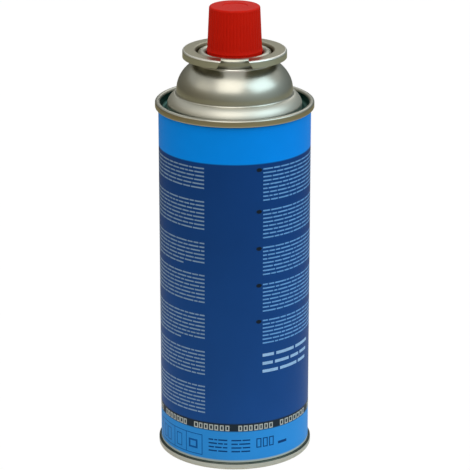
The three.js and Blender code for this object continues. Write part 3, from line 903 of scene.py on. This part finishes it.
cap_outline = joined(
    [0.0, cap_top - cap_dimple_depth],
    [cap_dimple_radius - cap_dimple_depth, cap_top - cap_dimple_depth],
    [cap_dimple_radius, cap_top],
    arc(cap_top_radius - cap_edge, cap_top - cap_edge, cap_edge, 90, 0, 8),
    [cap_top_radius, cap_top - cap_rib_end],
    [cap_foot_radius, lip_top + cap_lip],
    arc(cap_lip_radius - cap_lip_round, lip_top - cap_lip_round, cap_lip_round, 60, 0, 4),
    [cap_lip_radius, cup_crown + cap_lip / 4],
    [cap_skirt_radius, cup_crown],
    ring_swell(cap_skirt_radius, rim_height - clinch_below_rim, cap_bead, cap_bead_height, 12),
    [cap_skirt_radius, cap_low.z + cap_chamfer],
    [cap_skirt_radius - cap_chamfer, cap_low.z],
    [cap_skirt_radius - cap_wall, cap_low.z],
    [cap_skirt_radius - cap_wall, lip_top],
    arc(cap_top_radius - cap_wall - cap_edge, cap_ceiling - cap_edge, cap_edge, 0, 90, 8),
    [0.0, cap_ceiling],
)
cap_fine = refined(cap_outline, cap_step)[::-1]
cap_turns = full_turn(steps_per_rib * cap_ribs)
cap_grid = turned_points(cap_fine, cap_turns)
cap_radii, cap_levels = cap_fine.T
rib_foot = lip_top + cap_lip / 2
rib_head = cap_top - cap_rib_end / 2
up_from_foot = np.clip((cap_levels - rib_foot) / cap_rib_fade, 0, 1)
down_from_head = np.clip((rib_head - cap_levels) / cap_rib_fade, 0, 1)
on_ribs = up_from_foot * down_from_head * (cap_radii > cap_top_radius - cap_edge)
groove = (1 - np.abs(np.cos(cap_ribs / 2 * cap_turns))) ** cap_rib_power
cap_cut = 1 - cap_rib_depth * on_ribs[:, None] * groove / np.maximum(cap_radii, cap_edge)[:, None]
cap_grid[..., :2] *= cap_cut[..., None]

plastic_clouds, plastic_pebble = 120.0, 2200.0
pebble_strength, pebble_depth = 0.05, 0.02 * mm
plastic_shine = 0.06


def plastic_finish(name, colour, shade, low_gloss, high_gloss):
    """Moulded plastic: a body colour with a faint darker cloud, and fine pebbling."""
    made = new_finish(name, Specular_IOR_Level=plastic_shine)
    place = own_place(made)
    pebble = noise(made, place, plastic_pebble, 2.0)
    feed(made, Base_Color=mixed(made, noise(made, place, plastic_clouds, 3.0), colour, shade),
         Roughness=ranged(made, pebble, low_gloss, high_gloss, 0.3, 0.7),
         Normal=bumped(made, pebble, pebble_strength, pebble_depth))
    return made


red_plastic = plastic_finish("red_plastic", srgb(202, 25, 6), srgb(192, 20, 4), 0.42, 0.55)
cap = surface("ribbed_cap", cap_grid, False, red_plastic)
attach(cap, "lid")
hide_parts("cap")


# Valve stem
# A small white moulded nozzle with a blind bore, a shoulder under the gasket and a spigot that
# centres the spring.

stem_low, stem_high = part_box("valve_stem")
gasket_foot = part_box("stem_gasket")[0].z
stem_radius = 2.0 * mm
stem_bore = 0.9 * mm
bore_floor = 0.3 * mm
stem_taper = 1.2 * mm
stem_tip = 1.5 * mm
stem_shoulder = stem_high.x
stem_shoulder_height = 1.3 * mm
stem_spigot = 1.9 * mm
white_plastic = plastic_finish("white_plastic", srgb(232, 230, 222), srgb(220, 217, 206), 0.35, 0.5)
stem_outline = joined(
    [0.0, stem_low.z],
    [stem_spigot, stem_low.z],
    [stem_spigot, gasket_foot - stem_shoulder_height],
    [stem_shoulder, gasket_foot - stem_shoulder_height],
    [stem_shoulder, gasket_foot],
    [stem_radius, gasket_foot],
    [stem_radius, stem_high.z - stem_taper],
    [stem_tip, stem_high.z],
    [stem_bore, stem_high.z],
    [stem_bore, gasket_foot + bore_floor],
    [0.0, gasket_foot + bore_floor],
)
valve_stem = surface("nozzle", turned_points(stem_outline, full_turn(64)), False, white_plastic)
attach(valve_stem, "stem")
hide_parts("valve_stem")


# Valve spring
# A coil of steel wire with a closed turn at each end. It stands on the housing's floor and holds
# the stem up, and it shortens when the stem is pressed.

spring_low, spring_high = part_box("valve_spring")
spring_wire_radius = 0.3 * mm
spring_radius = 2.9 * mm
spring_turns = 6.5
spring_closed_rise = 0.65 * mm
spring_sides = 8
spring_steps = 260

wire_turns = full_turn(spring_sides)
coil_turns = np.linspace(0.0, spring_turns, spring_steps + 1)
spring_foot, spring_head = spring_low.z + spring_wire_radius, spring_high.z - spring_wire_radius
open_rise = spring_head - spring_foot - 2 * spring_closed_rise
closed_rises = np.array([0.0, 1.0, 1.0, 2.0]) * spring_closed_rise
open_rises = np.array([0.0, 0.0, 1.0, 1.0]) * open_rise
coil_levels = np.interp(coil_turns, [0.0, 1.0, spring_turns - 1.0, spring_turns],
                        spring_foot + closed_rises + open_rises)
coil_reach = spring_radius + spring_wire_radius * np.cos(wire_turns)[:, None]
coil_angle = 2 * math.pi * coil_turns + math.pi / 2
coil_grid = np.stack([
    coil_reach * np.sin(coil_angle),
    -coil_reach * np.cos(coil_angle),
    coil_levels + spring_wire_radius * np.sin(wire_turns)[:, None],
], axis=-1)
spring_wire = tin_finish("spring_wire", srgb(200, 200, 202), 0.2, 0.3, srgb(180, 178, 172))
coil_spring = capped_strip("coil_spring", coil_grid, spring_wire)
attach(coil_spring, "canister")
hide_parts("valve_spring")
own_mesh(coil_spring)


# Gaskets, housing and vapour tube
# The sealed inner works. They keep their modelled solids and take the finish of their material.

rubber = plastic_finish("black_rubber", srgb(34, 34, 35), srgb(24, 24, 25), 0.75, 0.9)
for name, finish in [("rim_gasket", rubber), ("stem_gasket", rubber), ("valve_housing", white_plastic),
                     ("vapour_tube", white_plastic)]:
    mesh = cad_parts[name].data
    mesh.materials.clear()
    mesh.materials.append(finish)
